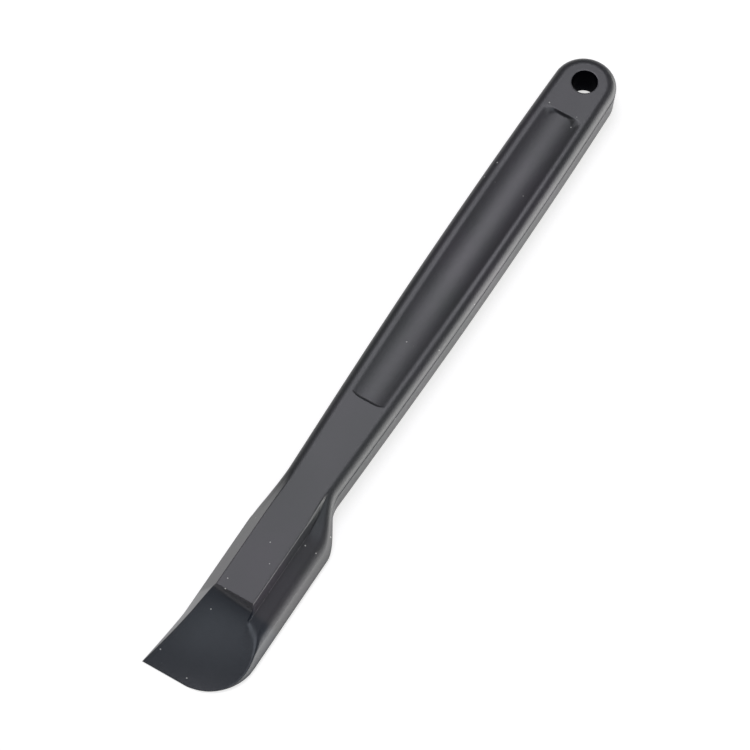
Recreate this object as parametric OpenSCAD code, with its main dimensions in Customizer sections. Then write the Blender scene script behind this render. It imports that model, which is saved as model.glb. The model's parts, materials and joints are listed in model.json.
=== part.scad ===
// Spudger: a one-piece moulded prying and scraping tool.
// The origin is the hang hole's axis on the underside, +X runs to the blade and +Z is up.

/* [Overall] */
// Thickness from the flat underside to the flat top
thickness = 9; // [8:0.5:11]
// Distance from the hang hole's axis to the blade's front edge
blade_reach = 170.5; // [165:0.5:180]

/* [Handle] */
// Radius of the handle's rounded end
end_r = 7.45; // [6.5:0.05:8]
// How far the rounded end's centre sits from the hang hole, towards the blade
end_x = 0.25; // [0:0.05:1]
// Greatest half width of the handle
grip_r = 7.83; // [7:0.01:9]
// Half width of the neck
neck_r = 6.33; // [5.5:0.01:7]
// Radius that rounds the handle's top edge
edge_r = 2.1; // [1:0.1:2.5]
// How much narrower the underside is, on each side
draft = 0.4; // [0:0.1:0.8]

/* [Hang hole] */
// Diameter of the hang hole
hole_d = 6; // [4:0.5:7]

/* [Thumb pocket] */
// Where the pocket starts
pocket_start = 9.6; // [8:0.2:14]
// Where the pocket ends
pocket_end = 95.2; // [80:0.2:100]
// Where the pocket is widest and deepest
pocket_mid = 42; // [30:1:60]
// Greatest width of the pocket
pocket_w = 9.8; // [8:0.2:10.4]
// Greatest depth of the pocket
pocket_depth = 0.85; // [0.4:0.05:1.2]
// How much shallower the pocket is at the end near the hang hole
start_rise = 0.07; // [0:0.01:0.15]
// How much shallower the pocket is at the end near the neck
end_rise = 0.27; // [0:0.01:0.35]

/* [Head] */
// Where the neck starts to widen
flare_start = 117.5; // [112:0.5:120]
// Where the head reaches its full width
flare_end = 130; // [126:0.5:134]
// Width of the head on the side of the pointed corner
head_left = 9.2; // [8:0.1:10]
// Width of the head on the side of the round corner
head_right = 11.05; // [10:0.05:12]
// Reach of the pointed corner from the middle line
tip_left = 10.8; // [9.5:0.1:12]
// Radius of the blade's round corner
corner_r = 11; // [8:0.5:12]

/* [Rib] */
// Reach of the rib's flat top on the side of the pointed corner
rib_left = 4.6; // [4:0.05:5]
// Reach of the rib's flat top on the side of the round corner
rib_right = 4.85; // [4:0.05:5]
// Where the rib ends above the scoop
rib_end = 149.9; // [145:0.1:155]
// Height of the shoulder at the foot of the rib's wall
shoulder_z = 5.3; // [4.5:0.1:6]
// Slope of the shoulder, in degrees
shoulder_slope = 17; // [10:1:25]
// Radius that rounds the shoulder down to the side
side_r = 4.1; // [3:0.1:4.5]

/* [Scoop] */
// Thickness left at the blade's edge
edge_t = 0.35; // [0.2:0.05:1]
// Radius of the scoop's floor on the side of the round corner
floor_r = 80; // [60:5:120]
// Radius of the scoop's floor on the side of the pointed corner
left_floor_r = 56; // [45:1:80]

/* [Hidden] */
round_fn = 96;
// Height of the parting line, where the side's draft begins
parting_z = thickness - edge_r;
// Stations along the handle, each [x, half width]
handle_stations = [
    [end_x, end_r],
    [9, grip_r - 0.23],
    [20, grip_r - 0.08],
    [42, grip_r],
    [66, grip_r - 0.17],
    [90, grip_r - 0.69],
    [flare_start, neck_r]
];
// Foot of the rib's wall, outside its top edge
wall_foot_y = rib_right + 0.5;
// Height of the round side's edge, and how far the foot below it tucks in
land_z = 0.9;
foot_in = 0.25;
// Angle at which the rounded side runs out into a straight bevel
bevel_a = 38;
// Where the pointed corner starts to sweep outward
sweep_start = 156;
// Beyond the blade, for the cutter
clear_x = blade_reach + 10;
// Steps in each quarter of a rounded edge
arc_steps = 8;

// Points on an arc round c, from angle a0 to a1
function arc(c, r, a0, a1, steps) =
    [for (i = [0:steps]) let (a = a0 + (a1 - a0) * i / steps) c + r * [cos(a), sin(a)]];

// Half section of the handle, from the foot up to the flat top: drafted side and round edge
function handle_half(half_w) =
    concat([[half_w - draft, 0]], arc([half_w - edge_r, parting_z], edge_r, 0, 90, arc_steps));

// Half section of the head's round side: foot, bevel, rounded side, shoulder and rib wall
function round_half() =
    concat(
        [[head_right - foot_in, 0], [head_right, land_z]],
        arc([head_right - foot_in - side_r, 0.6], side_r, bevel_a, 90 - shoulder_slope, arc_steps - 4),
        [[wall_foot_y, shoulder_z], [rib_right + 0.05, thickness - 0.3], [rib_right, thickness]]);

// Half section of the head's pointed side: one steep flank from the foot to the rib's edge
function flank_half(foot) =
    [for (i = [0:arc_steps + 1]) let (t = i / (arc_steps + 1))
        [foot + (rib_left - foot) * t, thickness * t]];

// How far the neck has turned into the head at x, easing from 0 to 1
function flare(x) =
    let (t = min(1, max(0, (x - flare_start) / (flare_end - flare_start))))
    (1 - cos(180 * t)) / 2;

// Half width of the pointed side's foot at x, sweeping outward to the tip
function pointed_foot(x) =
    let (t = max(0, (x - sweep_start) / (blade_reach - sweep_start)))
    head_left + (tip_left - head_left) * pow(t, 1.2);

// Reach of the round side at x, closing in round the blade's corner
function round_limit(x) =
    let (t = max(0, x - blade_reach + corner_r))
    head_right - corner_r + sqrt(corner_r * corner_r - t * t);

// The whole section at x as [x, y, z] points, up the round side and down the pointed one
function section(x) =
    let (
        w = flare(x),
        neck = handle_half(lookup(x, handle_stations)),
        right = (1 - w) * neck + w * round_half(),
        left = (1 - w) * neck + w * flank_half(pointed_foot(x)),
        last = len(left) - 1)
    concat(
        [for (p = right) [x, min(p[0], round_limit(x)), p[1]]],
        [for (i = [last:-1:0]) [x, -left[i][0], left[i][1]]]);

// Skins a list of sections that all have the same number of points
module loft(sections) {
    n = len(sections[0]);
    rows = len(sections);
    polyhedron(
        points = [for (s = sections, p = s) p],
        faces = concat(
            [[for (i = [0:n - 1]) i]],
            [[for (i = [n - 1:-1:0]) (rows - 1) * n + i]],
            [for (r = [0:rows - 2], i = [0:n - 1]) let (a = r * n + i, b = r * n + (i + 1) % n)
                [b, a, a + n]],
            [for (r = [0:rows - 2], i = [0:n - 1]) let (a = r * n + i, b = r * n + (i + 1) % n)
                [b, a + n, b + n]]));
}

module shaft_and_head() {
    corner_start = blade_reach - corner_r;
    stations = concat(
        [for (s = handle_stations) s[0]],
        [for (i = [1:14]) flare_start + (flare_end - flare_start) * i / 14],
        [sweep_start],
        [for (a = [0:7.5:90]) corner_start + corner_r * sin(a)]);
    loft([for (x = stations) section(x)]);
}

// The rounded end of the handle
module handle_end() {
    translate([end_x, 0, 0]) rotate([0, 0, 90]) rotate_extrude(angle = 180, $fn = round_fn)
        polygon(concat([[0, 0]], handle_half(end_r), [[0, thickness]]));
}

// Floor of the scoop as [x, z]: an arc that meets the blade's edge at the given slope
function floor_arc(r, slope, x0, steps) =
    let (
        c = [blade_reach + r * sin(slope), edge_t + r * cos(slope)],
        a0 = -180 + acos((c[0] - x0) / r))
    arc(c, r, a0, -90 - slope, steps);

// The scoop: a shallow concave ramp whose step at the rib grows towards the round side
module scoop_cutter() {
    top = thickness + 5;
    top_x = rib_end - 1.05;
    face_foot = rib_end + 0.7;
    flat_from = rib_right + 0.2;
    hull() {
        translate([0, -tip_left, 0]) rotate([90, 0, 0]) linear_extrude(1)
            polygon(concat(
                floor_arc(left_floor_r, 12, rib_end, 24),
                [[clear_x, edge_t], [clear_x, top], [top_x, top]]));
        translate([0, head_right + 1, 0]) rotate([90, 0, 0]) linear_extrude(head_right + 1 - flat_from)
            polygon(concat(
                floor_arc(floor_r, 7.5, face_foot, 24),
                [[clear_x, edge_t], [clear_x, top], [top_x, top]]));
    }
}

// The thumb pocket: a shallow trough that narrows towards both of its steep ends
module pocket_cutter() {
    trough_r = (pow(pocket_w / 2, 2) + pow(pocket_depth, 2)) / (2 * pocket_depth);
    translate([pocket_mid, 0, thickness - pocket_depth + trough_r]) {
        rotate([0, -90, 0])
            cylinder(h = pocket_mid - pocket_start, r1 = trough_r, r2 = trough_r - start_rise, $fn = round_fn);
        rotate([0, 90, 0])
            cylinder(h = pocket_end - pocket_mid, r1 = trough_r, r2 = trough_r - end_rise, $fn = round_fn);
    }
}

module hang_hole() {
    translate([0, 0, -1]) cylinder(h = thickness + 2, d = hole_d, $fn = round_fn);
}

module spudger_body() {
    color([0.13, 0.13, 0.14]) difference() {
        union() {
            // A resize by nothing keeps the scooped skin as one closed mesh
            resize([0, 0, 0]) difference() {
                shaft_and_head();
                scoop_cutter();
            }
            handle_end();
        }
        pocket_cutter();
        hang_hole();
    }
}

spudger_body();
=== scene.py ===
import json
import math

import bmesh
import bpy
import numpy as np
from mathutils import Matrix, Vector, geometry


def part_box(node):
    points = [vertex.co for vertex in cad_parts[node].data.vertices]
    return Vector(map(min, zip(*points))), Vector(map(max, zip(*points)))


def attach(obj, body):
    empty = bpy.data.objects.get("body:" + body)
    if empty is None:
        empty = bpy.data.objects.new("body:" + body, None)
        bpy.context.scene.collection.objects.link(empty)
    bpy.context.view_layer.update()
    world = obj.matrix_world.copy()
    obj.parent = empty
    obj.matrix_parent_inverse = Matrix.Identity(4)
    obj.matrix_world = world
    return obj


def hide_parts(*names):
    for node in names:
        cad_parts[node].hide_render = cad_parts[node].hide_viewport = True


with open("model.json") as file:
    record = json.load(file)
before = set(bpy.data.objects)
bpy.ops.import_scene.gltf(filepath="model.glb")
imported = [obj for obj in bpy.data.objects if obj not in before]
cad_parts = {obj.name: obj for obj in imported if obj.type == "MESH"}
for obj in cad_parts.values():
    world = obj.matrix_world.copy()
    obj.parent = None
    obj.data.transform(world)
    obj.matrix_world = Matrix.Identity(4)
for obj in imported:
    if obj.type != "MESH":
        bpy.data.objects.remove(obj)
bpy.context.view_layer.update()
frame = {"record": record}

MM = 0.001
lo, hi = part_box("spudger_body")
TOP = hi.z / MM            # the flat top
BLADE_X = hi.x / MM        # the blade's front edge
HEAD_R = hi.y / MM         # reach of the round side
TIP_L = -lo.y / MM         # reach of the pointed corner
HOLE_R = frame["record"]["mounts"][0]["dims"]["r_mm"]


# ---------------------------------------------------------------- shape, in millimetres
# +X runs from the hang hole to the blade, +Y is towards the round side and +Z is up.

# handle
EDGE_R, EDGE_W = 2.1, 2.4  # height and width of its rounded top edge
EDGE_LEAN = 0.12           # how far the rounded edge leans in above the parting line
PART_Z = TOP - EDGE_R      # its parting line
DRAFT = 0.4                # how much narrower its underside is, on each side
GROOVE = 0.15              # depth of the fine groove below the parting line
GROOVE_ROWS = (0.5, 0.4, 0.2, 0.1)  # the groove's rows, down from the parting line
FOOT_CUT, FOOT_ARC = 0.12, 0.035    # the small break along the bottom edge
END_X = 0.25               # centre of the rounded end
END_R = END_X - lo.x / MM
END_SLOPE = 0.02           # how fast the handle widens at its rounded end
HANDLE_X = 100.0           # the pocket lies before this, and the scoop after it
PATCH_X = 8.0              # the patch round the hang hole lies before this
FLARE0, FLARE1 = 117.5, 130.0       # the neck widens into the head
STATIONS = np.array([[END_X, END_R], [9, 7.6], [20, 7.75], [42, 7.83],
                     [66, 7.66], [90, 7.14], [FLARE0, 6.33]])  # each x and half width

# head
HEAD_L = 9.2               # reach of the pointed side's foot
RIB_L, RIB_R = 4.6, 4.85   # reach of the rib's flat top
WALL_Y, SHOULDER_Z = 5.35, 5.3      # foot of the rib's upright wall
SHOULDER_A = 17.0          # slope of the shoulder, in degrees
SIDE_R, SIDE_Z = 4.1, 0.6  # the round side's arc: its radius and its centre's height
BEVEL_A = 38.0             # angle at which that arc runs out into a straight bevel
LAND_L, LAND_R = 1.0, 0.9  # height of each side's edge above the underside
FOOT_IN = 0.25             # how far the round side's foot tucks in
CREASE_R, RIB_EDGE_R, FLANK_EDGE_R = 0.06, 0.3, 0.25

# blade
RIB_END, FACE_FOOT = BLADE_X - 20.6, BLADE_X - 19.9
CORNER_R = 11.0
CORNER_X, CORNER_Y = BLADE_X - CORNER_R, HEAD_R - CORNER_R
EDGE_T = 0.35              # thickness of the edge
EDGE_ROUND = 0.12          # radius that breaks the edge
SWEEP0, SWEEP_POWER = BLADE_X - 14.5, 1.2    # the pointed corner sweeps outward from here
FLOOR_L, FLOOR_R = (56, 12), (80, 7.5)       # each arc's radius, and its slope at the edge
FACE_SLOPE = 3.6           # steepness of the rib's end face

# thumb pocket
POCKET = dict(y=0.12, x0=9.6, x1=95.2, mid=42.0, w=9.8, depth=0.85, rise0=0.07, rise1=0.27)


def smooth_min(a, b, k):
    """The lower of two heights, with the crease between them rounded over about k."""
    h = np.maximum(k - np.abs(a - b), 0.0) / k
    return np.minimum(a, b) - h * h * k / 4


def smooth_max(a, b, k):
    return -smooth_min(-a, -b, k)


def half_width(x):
    """Half width of the handle, a smooth curve through the stations."""
    sx, sw = STATIONS[:, 0], STATIONS[:, 1]
    slope = np.gradient(sw, sx)
    slope[0] = END_SLOPE
    x = np.clip(np.asarray(x, float), sx[0], sx[-1])
    i = np.clip(np.searchsorted(sx, x, side="right") - 1, 0, len(sx) - 2)
    h = sx[i + 1] - sx[i]
    t = (x - sx[i]) / h
    return ((2 * t**3 - 3 * t**2 + 1) * sw[i] + (t**3 - 2 * t**2 + t) * h * slope[i]
            + (-2 * t**3 + 3 * t**2) * sw[i + 1] + (t**3 - t**2) * h * slope[i + 1])


def flare(x):
    """How far the neck has turned into the head at x, from 0 to 1."""
    t = np.clip((x - FLARE0) / (FLARE1 - FLARE0), 0, 1)
    return (1 - np.cos(math.pi * t)) / 2


def left_foot(x):
    """Reach of the pointed side's foot at x, sweeping outward to the tip."""
    t = max(0.0, (x - SWEEP0) / (BLADE_X - SWEEP0))
    return HEAD_L + (TIP_L - HEAD_L) * t**SWEEP_POWER


def fillet(a, corner, b, r, n):
    """Points of an arc of radius r that rounds the corner between the directions to a and b."""
    a, corner, b = map(np.array, (a, corner, b))
    da, db = (a - corner) / np.linalg.norm(a - corner), (b - corner) / np.linalg.norm(b - corner)
    half = math.acos(float(np.clip(da @ db, -1, 1))) / 2
    mid = (da + db) / np.linalg.norm(da + db)
    centre = corner + mid * r / math.sin(half)
    p0, p1 = corner + da * r / math.tan(half), corner + db * r / math.tan(half)
    v0, v1 = p0 - centre, p1 - centre
    total = math.acos(float(np.clip(v0 @ v1 / r**2, -1, 1)))
    s = np.linspace(0, 1, n + 1)[:, None]
    return centre + (np.sin((1 - s) * total) * v0 + np.sin(s * total) * v1) / math.sin(total)


def line(a, b, n):
    s = np.linspace(0, 1, n + 1)[:, None]
    return np.array(a) * (1 - s) + np.array(b) * s


def joined(*parts):
    """Runs of points end to end, each starting on the last point of the one before."""
    return np.vstack([parts[0]] + [p[1:] for p in parts[1:]])


# steps in each part of a section, from the parting line up to the flat top, and across it
N_ARC, N_SHOULDER, N_CREASE, N_WALL, N_EDGE = 20, 9, 2, 7, 6
N_BEVEL = 8                # of the arc's steps, those on the bevel
N_TOP = 44
N_SIDE, N_ROUND = 12, 72   # steps along the end patch's sides, and round the handle's end


def round_profile():
    """Head's round side from its edge up to the rib's flat top, as [y, z]."""
    angles = np.linspace(math.radians(BEVEL_A), math.radians(90 - SHOULDER_A),
                         N_ARC - N_BEVEL + 1)
    centre = np.array([HEAD_R - FOOT_IN - SIDE_R, SIDE_Z])
    arc = centre + SIDE_R * np.stack([np.cos(angles), np.sin(angles)], 1)
    arc = joined(line((HEAD_R, LAND_R), arc[0], N_BEVEL), arc)
    foot, rib = (WALL_Y, SHOULDER_Z), (RIB_R, TOP)
    crease = fillet(arc[-1], foot, rib, CREASE_R, N_CREASE)
    edge = fillet(foot, rib, (0, TOP), RIB_EDGE_R, N_EDGE)
    return joined(arc, line(arc[-1], crease[0], N_SHOULDER), crease,
                  line(crease[-1], edge[0], N_WALL), edge)


ROUND = round_profile()

# angles along the handle's round edge, shared out so that it matches the head point for point
SPLITS = [(0, 56.25, N_ARC), (56.25, 66, N_SHOULDER), (66, 69, N_CREASE),
          (69, 78.75, N_WALL), (78.75, 90, N_EDGE)]
NECK_A = np.radians(np.concatenate([[0.0]] + [np.linspace(a0, a1, n + 1)[1:]
                                              for a0, a1, n in SPLITS]))


def neck_profile(w):
    """Handle's round edge from the parting line up to the flat top, at half width w."""
    lean = EDGE_LEAN * np.sin(2 * NECK_A) / 2
    return np.stack([w - EDGE_W + EDGE_W * np.cos(NECK_A) - lean,
                     PART_Z + EDGE_R * np.sin(NECK_A)], 1)


def flank_profile(foot):
    """Head's pointed side from its edge up to the rib's flat top, as [distance left, z]."""
    p0 = np.array([foot - (foot - RIB_L) * LAND_L / TOP, LAND_L])
    edge = fillet((foot, 0), (RIB_L, TOP), (0, TOP), FLANK_EDGE_R, N_EDGE)
    return joined(line(p0, edge[0], N_ARC + N_SHOULDER + N_CREASE + N_WALL), edge)


def skirt(foot_y, part_y, part_z, groove=0.0):
    """Side below the parting line from the underside up, with a small break at the bottom edge
    and a fine groove, where the mould's halves meet, just below the line."""
    def at(z):
        return np.array([foot_y + (part_y - foot_y) * z / part_z, z])
    inset = np.array([groove, 0])
    low = min(1, part_z)
    g0, g1, g2, g3 = (part_z - down for down in GROOVE_ROWS)
    rows = [np.array([foot_y - FOOT_CUT, 0.0]), np.array([foot_y - FOOT_ARC, FOOT_ARC]),
            at(FOOT_CUT * low)]
    rows += [at(z) for z in np.linspace(0.14 * low, g0, 7)[1:]]
    rows += [at(g1) - inset, at(g2) - inset, at(g3)]
    return np.array(rows)


N_SKIRT = len(skirt(0.0, 0.0, PART_Z))


def section(x, foot=HEAD_L):
    """The section at x from the left foot over the top to the right foot, as [y, z] rows."""
    w = flare(x)
    hw = float(half_width(x))
    neck, neck_skirt = neck_profile(hw), skirt(hw - DRAFT, hw, PART_Z, GROOVE)
    flank = flank_profile(foot)
    left = np.vstack([(1 - w) * neck_skirt + w * skirt(foot, flank[0][0], LAND_L),
                      (1 - w) * neck + w * flank]) * [-1, 1]
    right = np.vstack([(1 - w) * neck_skirt + w * skirt(HEAD_R - FOOT_IN, HEAD_R, LAND_R),
                       (1 - w) * neck + w * ROUND])[::-1]
    s = np.linspace(0, 1, N_TOP + 1)[1:-1]
    top_y = left[-1][0] * (1 - s) + right[0][0] * s
    return np.vstack([left, np.stack([top_y, np.full_like(top_y, TOP)], 1), right])


def scoop(x, y):
    """Height of the scoop's floor, a ramp ruled between two arcs, and of the rib's end face."""
    def floor(r, slope):
        s = math.radians(slope)
        cx, cz = BLADE_X + r * math.sin(s), EDGE_T + r * math.cos(s)
        return cz - np.sqrt(np.maximum(r * r - (cx - x) ** 2, 0))
    # 0 at the pointed tip and 1 from the rib's wall outward
    across = np.clip(smooth_min((y + TIP_L) / (RIB_R + 0.6 + TIP_L), 1.0, 0.5), 0, 1)
    ramp = (1 - across) * floor(*FLOOR_L) + across * floor(*FLOOR_R)
    # the floor lifts a little towards the face's foot, and under the shoulder
    ramp = ramp + 0.45 * across * np.exp(-np.abs(x - FACE_FOOT) / 1.8)
    ramp = ramp + 0.25 * np.clip((y - 5.5) / 2, 0, 1) * np.exp(-(((x - FACE_FOOT) / 3.2) ** 2))
    return smooth_max(ramp, TOP - (x - RIB_END) * FACE_SLOPE, 1.2)


def pocket(x, y):
    """Height of the thumb pocket's floor: a shallow trough with steep, slightly bowed ends."""
    p = POCKET
    y = y - p["y"]
    r = ((p["w"] / 2) ** 2 + p["depth"] ** 2) / (2 * p["depth"])
    rise = np.where(x < p["mid"], p["rise0"] * ((p["mid"] - x) / (p["mid"] - p["x0"])) ** 2,
                    p["rise1"] * (np.abs(x - p["mid"]) / (p["x1"] - p["mid"])) ** 1.4)
    trough = TOP - p["depth"] + rise + r - np.sqrt(np.maximum(r * r - y * y, 0))
    # the first end is steep only near the middle, and the second bows outward there
    end0 = TOP - (x - p["x0"]) * (0.4 + 1.9 * np.exp(-(y / 2.3) ** 4))
    end1 = TOP - ((p["x1"] + 0.35 - 0.9 * (y / 4.4) ** 4) - x) * 1.3
    return smooth_max(smooth_max(trough, end0, 0.6), end1, 0.35)


def outline_inset(x, y):
    """Distance in from the blade's front edge and round corner."""
    round_zone = (x > CORNER_X) & (y > CORNER_Y)
    reach = np.hypot(x - CORNER_X, y - CORNER_Y)
    return np.where(round_zone, CORNER_R - reach, BLADE_X - x)


def lowered(x, y, z, front):
    """z after the pocket, the scoop and the blade's corner have been taken off."""
    if x.max() < HANDLE_X:
        on_top = (np.abs(y) < 5.6) & (z > TOP - 0.5)
        return np.where(on_top, smooth_min(z, pocket(x, y), 0.12), z)
    if x.max() < RIB_END - 1.5:
        return z
    # the crease with the scoop is sharper at the rib than out on the shoulder
    floor = scoop(x, y)
    blend = 0.22 + 0.33 * np.clip((y - 5.0) / 1.6, 0, 1)
    z = smooth_min(z, floor, np.minimum(blend, 0.6 * floor))
    if front:
        inset = np.maximum(outline_inset(x, y), 0)
        side = np.interp(HEAD_R - inset, ROUND[::-1, 0], ROUND[::-1, 1])
        z = np.where((x > CORNER_X) & (y > CORNER_Y), smooth_min(z, side, 0.3), z)
        t = np.maximum(1 - inset / EDGE_ROUND, 0)
        z = z * (1 - 0.3 * (1 - np.sqrt(1 - t * t)))
    return z


def stations(start, *spans):
    """Values from start over consecutive spans, each (end, step)."""
    out = [start]
    for end, step in spans:
        n = max(1, round((end - out[-1]) / step))
        out += list(np.linspace(out[-1], end, n + 1)[1:])
    return out


# rows across the tool, closer where the shape turns quickly
ROWS_X = stations(PATCH_X, (9.2, 0.3), (12.2, 0.1), (94.0, 0.83), (96.1, 0.1), (116.0, 0.7),
                  (131.0, 0.26), (RIB_END - 0.6, 0.5), (FACE_FOOT + 0.8, 0.07))
FRONT_X = ROWS_X[-1]       # rows after this bend to the blade's outline
FRONT_STEP = 0.26
FRONT_OFFSETS = [0.0, 0.02, 0.05, 0.09, 0.14, 0.22, 0.34, 0.5, 0.7, 0.94]  # in from the edge


def front_rows():
    """Fractions of the way from the last straight row to the front outline, closer at the end."""
    span = BLADE_X - FRONT_X
    tail = [1 - o / span for o in FRONT_OFFSETS][::-1]
    n = round((tail[0] * span) / FRONT_STEP)
    return list(np.linspace(0, tail[0], n + 1)[1:]) + tail[1:]


def front_outline(y):
    """The blade's front outline: x at y, straight and then round the corner."""
    t = np.clip(y - CORNER_Y, 0, CORNER_R)
    return CORNER_X + np.sqrt(np.maximum(CORNER_R**2 - t * t, 0))


class Builder:
    """Collects points and four-sided faces."""

    def __init__(self):
        self.verts, self.faces = [], []

    def row(self, pts):
        start = len(self.verts)
        self.verts += [tuple(map(float, p)) for p in pts]
        return list(range(start, len(self.verts)))

    def strip(self, a, b):
        for i in range(len(a) - 1):
            self.faces.append([a[i], a[i + 1], b[i + 1], b[i]])

    def ring(self, a, b):
        self.strip(a + a[:1], b + b[:1])


def main_rows(b):
    """The shaft and the head, row after row from the end patch to the blade's outline."""
    rows = []

    def add(xs, s, front):
        z = lowered(xs, s[:, 0], s[:, 1], front)
        rows.append(b.row(np.stack([xs, s[:, 0], z], 1)))

    for x in ROWS_X:
        s = section(x)
        add(np.full(len(s), x), s, False)
    for t in front_rows():
        s = section(FRONT_X, left_foot(FRONT_X + (BLADE_X - FRONT_X) * t))
        xs = FRONT_X + (front_outline(s[:, 0]) - FRONT_X) * t
        xs[-N_SKIRT:] = xs[-N_SKIRT - 1]
        add(xs, s, True)
    for r0, r1 in zip(rows, rows[1:]):
        b.strip(r0, r1)
    return rows


def blade_wall(b, last):
    """The thin wall under the blade's edge and round its corner. Returns its lowest points."""
    pts = np.array([b.verts[i] for i in last])
    lower = skirt(0.0, 0.0, LAND_R)
    cols = [last[N_SKIRT - 1::-1]]
    for i in range(N_SKIRT, len(last) - N_SKIRT):
        x, y, z = pts[i]
        if y > CORNER_Y:
            inward = np.array([CORNER_X - x, CORNER_Y - y]) / CORNER_R
        else:
            inward = np.array([-1.0, 0.0])
        # the foot tucks in round the corner only
        tuck = FOOT_IN * min(1.0, max(0.0, (y - 1.0) / 3.0))
        col = []
        for dy, lz in lower[-2::-1]:
            depth = -dy + tuck * (1 - lz / LAND_R)
            col.append((x + inward[0] * depth, y + inward[1] * depth, z * lz / LAND_R))
        cols.append([last[i]] + b.row(col))
    cols.append(last[-N_SKIRT:])
    for c0, c1 in zip(cols, cols[1:]):
        b.strip(c0, c1)
    return [c[-1] for c in cols[1:-1]]


def round_end(b):
    """The handle's rim from the first row round its end and back. Returns its top and foot rows."""
    straight = np.linspace(PATCH_X, END_X, N_SIDE + 1)[:-1]
    path = [(x, 90.0) for x in straight]
    path += [(END_X, a) for a in np.linspace(90, 270, N_ROUND + 1)]
    path += [(x, 270.0) for x in straight[::-1]]
    rims = []
    for x, a in path:
        hw = float(half_width(x))
        col = np.vstack([skirt(hw - DRAFT, hw, PART_Z, GROOVE), neck_profile(hw)])
        c, s = math.cos(math.radians(a)), math.sin(math.radians(a))
        rims.append(b.row(np.stack([x + col[:, 0] * c, col[:, 0] * s, col[:, 1]], 1)))
    for r0, r1 in zip(rims, rims[1:]):
        b.strip(r0, r1)
    return [r[-1] for r in rims], [r[0] for r in rims]


def hole_wall(b, loop):
    """The flat top from the rim in to the hang hole, and the hole's wall. Returns its foot."""
    pts = np.array([b.verts[i] for i in loop])
    reach = np.hypot(pts[:, 0], pts[:, 1])
    unit = pts[:, :2] / reach[:, None]
    # each ring's distance outside the hole and its height, down from the flat top
    down = [(0.4, TOP), (0.08, TOP), (0.03, TOP - 0.015), (0.01, TOP - 0.04), (0, TOP - 0.1),
            (0, TOP * 0.66), (0, TOP * 0.33), (0, 0.2), (0.06, 0.06), (0.2, 0.0)]
    rings = [loop]
    for r, z in [(reach - 0.15, TOP)] + [(HOLE_R + out, z) for out, z in down]:
        flat = unit * np.reshape(r, (-1, 1))
        rings.append(b.row(np.column_stack([flat, np.full(len(flat), z)])))
    for r0, r1 in zip(rings, rings[1:]):
        b.ring(r0, r1)
    return rings[-1]


def close_underside(bm, verts, outer, hole):
    """Fills the flat underside between the outline and the hang hole with triangles."""
    flat = [Vector(verts[i][:2]) for i in outer + hole]
    edges, start = [], 0
    for loop in (outer, hole):
        n = len(loop)
        edges += [(start + k, start + (k + 1) % n) for k in range(n)]
        start += n
    pts, _, tris, origin, _, _ = geometry.delaunay_2d_cdt(flat, edges, [], 1, 1e-5)
    ids = [bm.verts[(outer + hole)[o[0]]] if o else bm.verts.new((p.x * MM, p.y * MM, 0.0))
           for p, o in zip(pts, origin)]
    for t in tris:
        middle = sum((pts[k] for k in t), Vector((0, 0))) / 3
        if middle.length > HOLE_R + 0.2:
            bm.faces.new([ids[k] for k in t]).smooth = False


def build_body():
    b = Builder()
    rows = main_rows(b)
    front_under = blade_wall(b, rows[-1])
    top_row, foot_row = round_end(b)
    n = N_SKIRT + len(NECK_A)
    hole = hole_wall(b, top_row + rows[0][n:-n])
    outer = foot_row + [r[0] for r in rows[1:]] + front_under + [r[-1] for r in rows[:0:-1]]

    me = bpy.data.meshes.new("spudger_tool")
    me.from_pydata([[c * MM for c in v] for v in b.verts], [], b.faces)
    bm = bmesh.new()
    bm.from_mesh(me)
    bm.verts.ensure_lookup_table()
    for f in bm.faces:
        f.smooth = True
    close_underside(bm, b.verts, outer, hole)
    bmesh.ops.remove_doubles(bm, verts=bm.verts, dist=2e-6)
    bmesh.ops.dissolve_degenerate(bm, edges=bm.edges, dist=1e-7)
    bmesh.ops.recalc_face_normals(bm, faces=bm.faces)
    open_edges = sum(1 for e in bm.edges if len(e.link_faces) != 2)
    print("spudger_tool:", len(bm.verts), "points,", len(bm.faces), "faces, open edges",
          open_edges, "volume mm3", round(bm.calc_volume() * 1e9, 1))
    bm.to_mesh(me)
    bm.free()
    ob = bpy.data.objects.new("spudger_tool", me)
    bpy.context.scene.collection.objects.link(ob)
    return ob


tool = build_body()
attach(tool, "root")
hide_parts("spudger_body")


# ---------------------------------------------------------------- material

WARM, COOL = (0.0205, 0.0225, 0.0235), (0.0275, 0.0255, 0.0305)  # the plastic's two shades
BLADE_COLOUR = (0.0165, 0.0195, 0.0255)
DUST_COLOUR = (0.45, 0.45, 0.43)
# near-black painted shade for the hang hole's wall
SHADE_COLOUR = (0.003, 0.0035, 0.006)
BLADE_START = (RIB_END - 0.4, RIB_END + 1.6)  # where the rib's plastic gives way to the blade's
DUST_SCALE, DUST_SHARE = 420, 0.26


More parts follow.
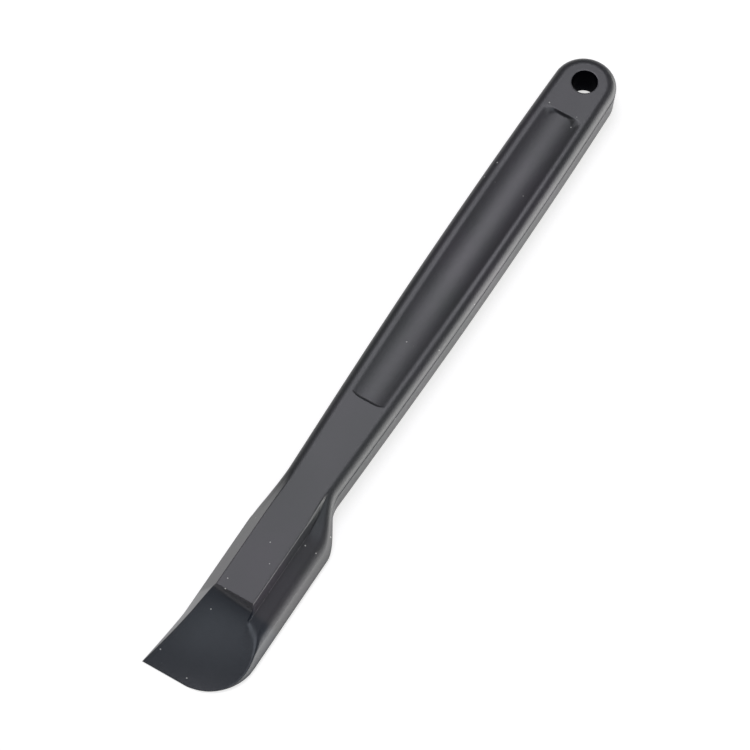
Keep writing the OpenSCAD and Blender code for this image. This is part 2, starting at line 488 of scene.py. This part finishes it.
class Nodes:
    """Short ways to add the nodes that the materials share."""

    def __init__(self, mat):
        mat.use_nodes = True
        self.tree = mat.node_tree
        self.bsdf = self.tree.nodes["Principled BSDF"]
        self.place = self.new("TexCoord").outputs["Object"]
        sep = self.new("SeparateXYZ")
        self.link(self.place, sep.inputs[0])
        self.x, self.y, self.z = sep.outputs

    def new(self, kind):
        return self.tree.nodes.new("ShaderNode" + kind)

    def link(self, value, socket):
        self.tree.links.new(value, socket)

    def math(self, op, *values):
        n = self.new("Math")
        n.operation = op
        for socket, v in zip(n.inputs, values):
            if isinstance(v, (int, float)):
                socket.default_value = v
            else:
                self.link(v, socket)
        return n.outputs[0]

    def times(self, first, *others):
        for other in others:
            first = self.math("MULTIPLY", first, other)
        return first

    def ramp(self, value, start, end, to0=0.0, to1=1.0, kind="SMOOTHSTEP"):
        """Goes from to0 to to1 as value goes from start to end."""
        n = self.new("MapRange")
        n.interpolation_type = kind
        n.inputs["From Min"].default_value, n.inputs["From Max"].default_value = start, end
        n.inputs["To Min"].default_value, n.inputs["To Max"].default_value = to0, to1
        self.link(value, n.inputs["Value"])
        return n.outputs["Result"]

    def step(self, value, start, end):
        """The same from 0 to 1, with start and end in millimetres."""
        return self.ramp(value, start * MM, end * MM)

    def noise(self, scale, detail=2.0, stretch=(1, 1, 1), rough=0.5):
        n = self.new("TexNoise")
        n.inputs["Scale"].default_value = scale
        n.inputs["Detail"].default_value = detail
        n.inputs["Roughness"].default_value = rough
        m = self.new("Mapping")
        m.inputs["Scale"].default_value = stretch
        self.link(self.place, m.inputs["Vector"])
        self.link(m.outputs[0], n.inputs["Vector"])
        return n.outputs[0]

    def mix(self, factor, a, b):
        n = self.new("Mix")
        n.data_type = "RGBA"
        self.link(factor, n.inputs[0])
        for k, v in ((6, a), (7, b)):
            if isinstance(v, tuple):
                n.inputs[k].default_value = (*v, 1)
            else:
                self.link(v, n.inputs[k])
        return n.outputs[2]


def dust(nt):
    """Specks: a few cells of a fine cell pattern, each with a small bright dot."""
    cells = nt.new("TexVoronoi")
    cells.inputs["Scale"].default_value = DUST_SCALE
    nt.link(nt.place, cells.inputs["Vector"])
    shade = nt.new("SeparateColor")
    nt.link(cells.outputs["Color"], shade.inputs[0])
    chosen = nt.math("GREATER_THAN", shade.outputs[0], 1 - DUST_SHARE)
    return nt.times(nt.ramp(cells.outputs["Distance"], 0.085, 0.04), chosen)


def hole_shade(nt):
    """1 on the hang hole's wall, which lies in deep shade: there the colour is painted near-black
    and the reflection turned down, as painted shade.
    """
    radius = nt.math("SQRT", nt.math("ADD", nt.times(nt.x, nt.x), nt.times(nt.y, nt.y)))
    return nt.step(radius, HOLE_R + 0.05, HOLE_R + 0.01)


def wall_shade(nt):
    """1 on the rib's upright wall, where the reflection is turned down as painted shade."""
    return nt.times(nt.step(nt.y, RIB_R + 0.01, RIB_R + 0.06), nt.step(nt.y, WALL_Y + 0.15, WALL_Y),
                    nt.step(nt.x, FLARE0, FLARE1),
                    nt.step(nt.z, SHOULDER_Z - 0.1, SHOULDER_Z + 0.3))


def groove_shade(nt):
    """1 in the groove along the handle, where the reflection is turned down as painted shade, as it
    runs down with the flare.
    """
    part_z = nt.ramp(nt.x, FLARE0 * MM, FLARE1 * MM, PART_Z * MM, LAND_R * MM)
    above = nt.math("SUBTRACT", nt.z, part_z)
    return nt.times(nt.step(above, -0.75, -0.5), nt.step(above, 0.0, -0.12),
                    nt.step(nt.x, FLARE1, FLARE0 + 5))


def make_plastic():
    mat = bpy.data.materials.new("body_plastic")
    nt = Nodes(mat)
    blade = nt.step(nt.x, *BLADE_START)
    specks, hole = dust(nt), hole_shade(nt)

    colour = nt.mix(nt.ramp(nt.noise(60, 3), 0.3, 0.7), WARM, COOL)
    colour = nt.mix(blade, colour, BLADE_COLOUR)
    colour = nt.mix(specks, colour, DUST_COLOUR)
    # the hang hole's wall is painted near-black: painted shade
    colour = nt.mix(hole, colour, SHADE_COLOUR)
    nt.link(colour, nt.bsdf.inputs["Base Color"])

    # the hang hole's wall, the groove and the rib's upright wall have their reflection turned down:
    # painted shade
    painted_shade = nt.math("MAXIMUM", nt.math("MAXIMUM", hole, groove_shade(nt)),
                   nt.times(wall_shade(nt), 0.75))
    nt.link(nt.ramp(painted_shade, 0, 1, 0.5, 0.08), nt.bsdf.inputs["Specular IOR Level"])
    nt.link(nt.ramp(painted_shade, 0, 1, 1.5, 1.06), nt.bsdf.inputs["IOR"])

    # smears run along the tool, the blade is smoother and dust is rougher
    smear = nt.ramp(nt.noise(34, 3, (0.35, 1, 1)), 0.3, 0.7, 0.35, 0.43)
    rough = nt.math("ADD", smear, nt.ramp(blade, 0, 1, 0.0, -0.1))
    rough = nt.math("ADD", rough, nt.times(specks, 0.3))
    nt.link(rough, nt.bsdf.inputs["Roughness"])

    # the mould's fine grain, with hairline scratches along the tool
    grain, hair = nt.noise(5200), nt.noise(900, 2, (0.06, 1, 1), 0.6)
    bump = nt.new("Bump")
    bump.inputs["Strength"].default_value = 0.10
    bump.inputs["Distance"].default_value = 0.00012
    nt.link(nt.math("ADD", nt.times(grain, 0.6), nt.times(nt.ramp(hair, 0.62, 0.75), 0.25)),
            bump.inputs["Height"])
    nt.link(bump.outputs[0], nt.bsdf.inputs["Normal"])
    return mat


tool.data.materials.append(make_plastic())


# ---------------------------------------------------------------- stage, camera and light

AZ, TILT = math.radians(31.414), math.radians(27.14)  # turn of the tool, tilt off straight down
EAST = Vector((-math.sin(AZ), math.cos(AZ), 0))
NORTH = Vector((-math.cos(AZ), -math.sin(AZ), 0))
UP = Vector((0, 0, 1))
LENS, SENSOR = 211.6656, 36    # millimetres
DISTANCE = 0.97634
size = hi - lo
aim = Vector((lo.x + size.x * 0.532, lo.y + size.y * 0.3694, lo.z + size.z * 0.555))


def make_camera():
    view = NORTH * math.sin(TILT) - UP * math.cos(TILT)
    cam_up = NORTH * math.cos(TILT) + UP * math.sin(TILT)
    cam = bpy.data.cameras.new("camera")
    cam.sensor_width, cam.sensor_fit = SENSOR, "HORIZONTAL"
    cam.lens = LENS
    cam.clip_start, cam.clip_end = 0.05, 20
    ob = bpy.data.objects.new("camera", cam)
    turn = Matrix((EAST, cam_up, -view)).transposed()
    ob.matrix_world = Matrix.Translation(aim - view * DISTANCE) @ turn.to_4x4()
    bpy.context.scene.collection.objects.link(ob)
    bpy.context.scene.camera = ob


def add_light(name, bearing, elevation, distance, width, height, radiance, tint=(1, 1, 1)):
    """A soft box seen from the tool at this bearing from north and this height, facing it."""
    be, el = math.radians(bearing), math.radians(elevation)
    d = (NORTH * math.cos(be) + EAST * math.sin(be)) * math.cos(el) + UP * math.sin(el)
    data = bpy.data.lights.new(name, "AREA")
    data.shape, data.size, data.size_y = "RECTANGLE", width, height
    data.energy = radiance * width * height * math.pi
    data.color = tint
    ob = bpy.data.objects.new(name, data)
    ob.location = aim + d * distance
    ob.rotation_euler = (-d).to_track_quat("-Z", "Y").to_euler()
    bpy.context.scene.collection.objects.link(ob)


def make_world():
    world = bpy.data.worlds.new("studio")
    bpy.context.scene.world = world
    world.use_nodes = True
    background = world.node_tree.nodes["Background"]
    background.inputs["Color"].default_value = (1, 1, 1, 1)
    background.inputs["Strength"].default_value = 0.15


FLOOR_HALF = 2.5
FLOOR_DROP = 0.00002       # keeps the floor just clear of the underside
GLOW_START, GLOW_END = HEAD_R + 1, HEAD_R + 8    # in the tool's y, in millimetres


def make_floor():
    """A white sheet that glows, more on the east side, to light the round side from low down."""
    me = bpy.data.meshes.new("floor")
    bm = bmesh.new()
    bmesh.ops.create_grid(bm, x_segments=8, y_segments=8, size=FLOOR_HALF)
    bm.to_mesh(me)
    bm.free()
    ob = bpy.data.objects.new("floor", me)
    ob.location = (aim.x, aim.y, lo.z - FLOOR_DROP)
    bpy.context.scene.collection.objects.link(ob)

    mat = bpy.data.materials.new("floor_white")
    nt = Nodes(mat)
    cloud = nt.new("TexNoise")
    cloud.inputs["Scale"].default_value = 3
    nt.link(nt.ramp(cloud.outputs[0], 0, 1, 0.5, 0.54, "LINEAR"), nt.bsdf.inputs["Base Color"])
    nt.bsdf.inputs["Roughness"].default_value = 0.9
    glow = nt.ramp(nt.y, GLOW_START * MM - aim.y, GLOW_END * MM - aim.y, 0.66, 4.6)
    nt.link(glow, nt.bsdf.inputs["Emission Strength"])
    nt.bsdf.inputs["Emission Color"].default_value = (1, 0.99, 0.97, 1)
    me.materials.append(mat)


make_camera()
bpy.context.scene.view_settings.view_transform = "Standard"
add_light("box_north", 0, 68, 1.2, 0.6, 0.55, 5.5, (0.985, 0.975, 1.05))
add_light("box_east", 90, 11, 2.0, 1.2, 0.8, 4.6)
add_light("box_south", 180, 68, 1.2, 0.6, 0.55, 2.6, (0.92, 0.99, 1.1))
add_light("box_west", 270, 48, 1.2, 0.6, 0.55, 1.5)
make_world()
make_floor()
